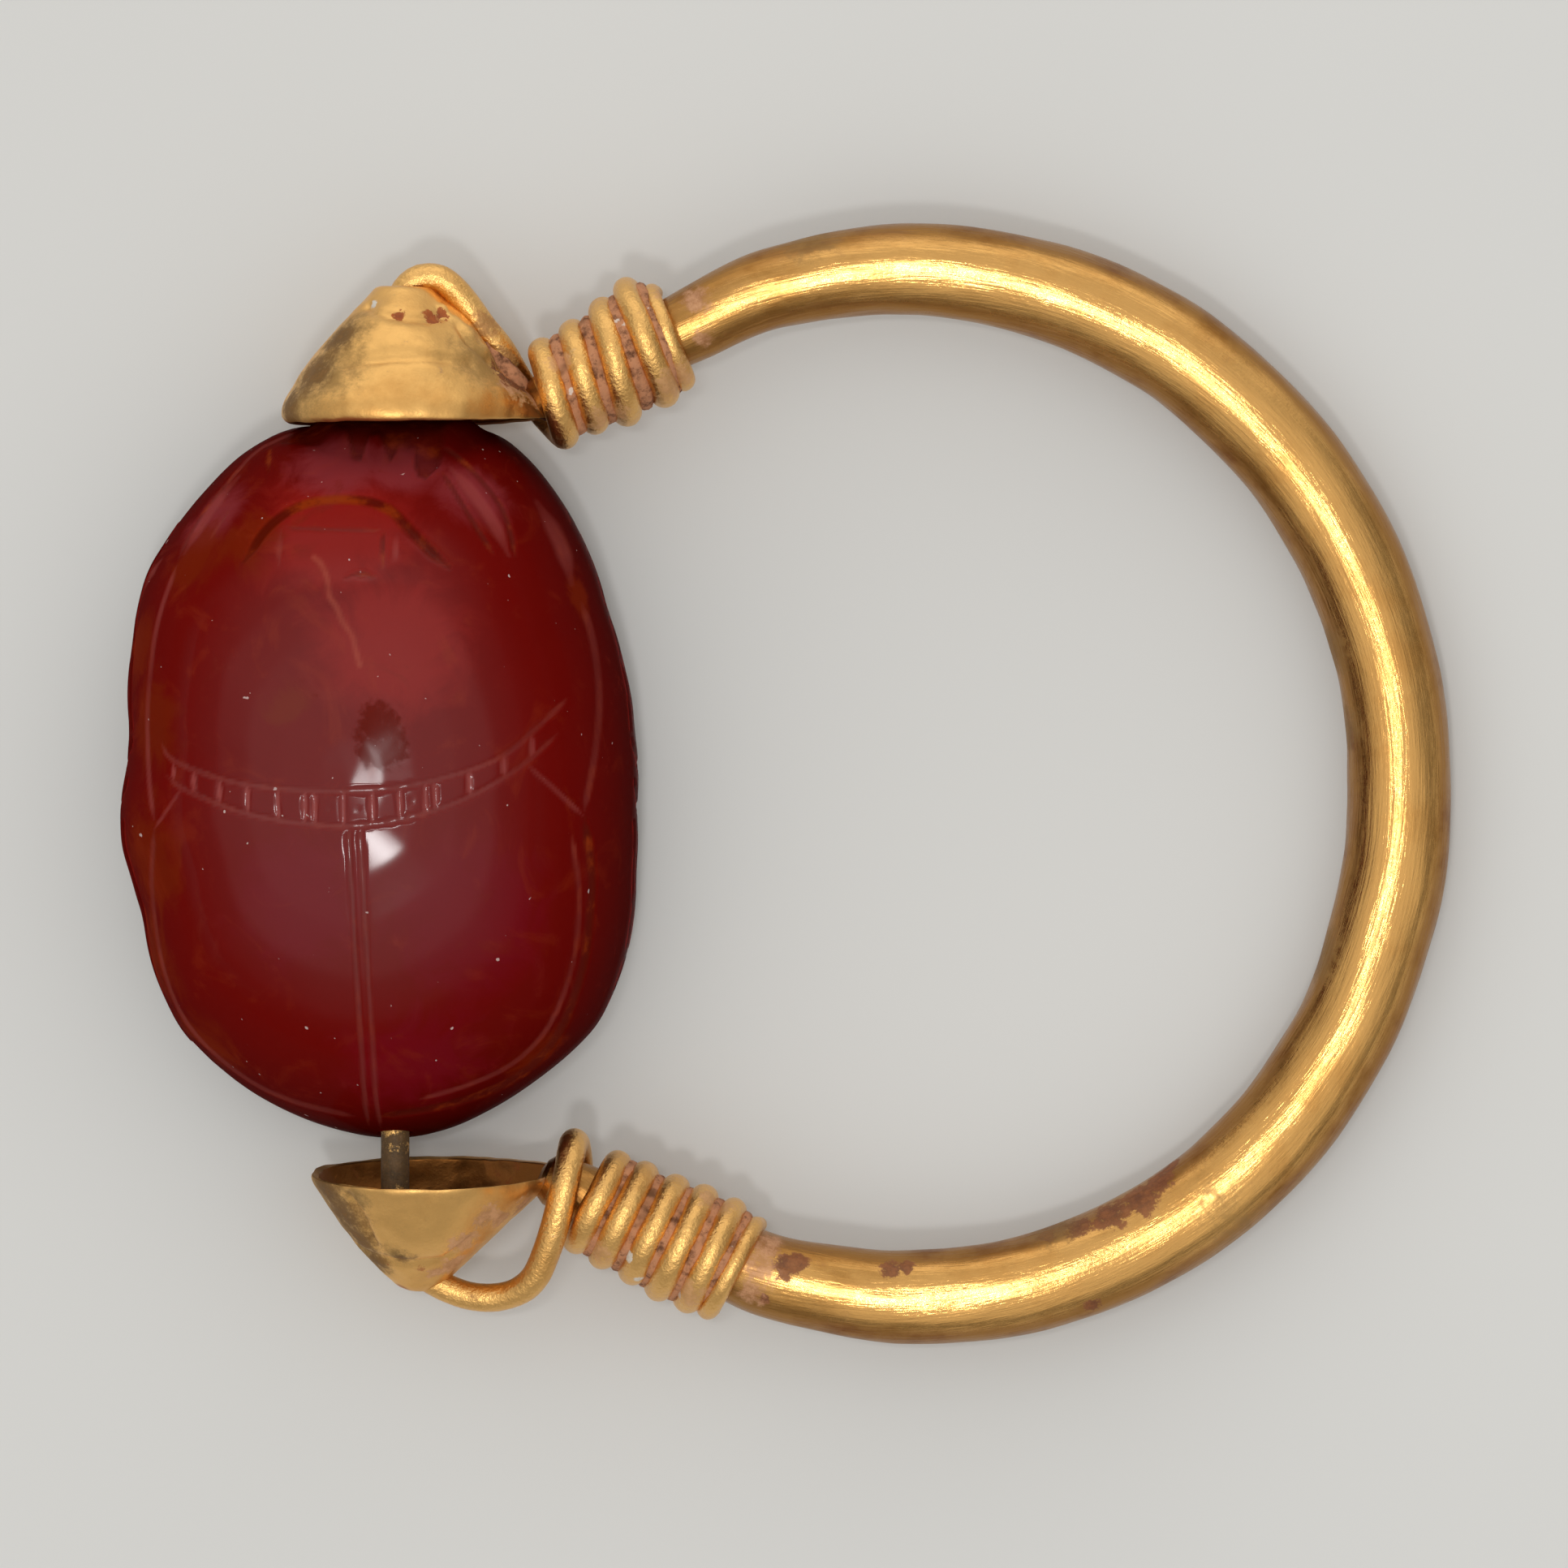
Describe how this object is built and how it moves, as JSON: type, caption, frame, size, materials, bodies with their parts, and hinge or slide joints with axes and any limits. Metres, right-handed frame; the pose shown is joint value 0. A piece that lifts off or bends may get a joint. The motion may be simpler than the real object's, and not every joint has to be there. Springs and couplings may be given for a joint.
{
  "type": "scarab swivel ring",
  "caption": "Finger ring: a carved red stone scarab seal turns on a gold wire that is wound round the thin ends of a thick gold hoop through two sheet cups.",
  "frame": {"origin": "centre of the seal's flat face, which is the face that seals and that the ring rests on", "axes": "+Y along the wire towards the head of the beetle, +X from the seal to the hoop, +Z out of the beetle's back"},
  "size_m": [0.0258, 0.0217, 0.007],
  "materials": {
    "hoop_gold": "satin",
    "sheet_gold": "satin",
    "wire_gold": "satin",
    "carnelian": "gloss"
  },
  "bodies": {
    "ring": {"hoop": "hoop_gold", "upper_cup": "sheet_gold", "lower_cup": "sheet_gold", "swivel_wire": "wire_gold"},
    "seal": {"scarab": "carnelian"}
  },
  "joints": [
    {"name": "scarab_swivel", "type": "hinge", "parent": "ring", "child": "seal", "pos_m": [0, 0, 0.0025], "axis": [0, 1, 0], "continuous": true}
  ]
}
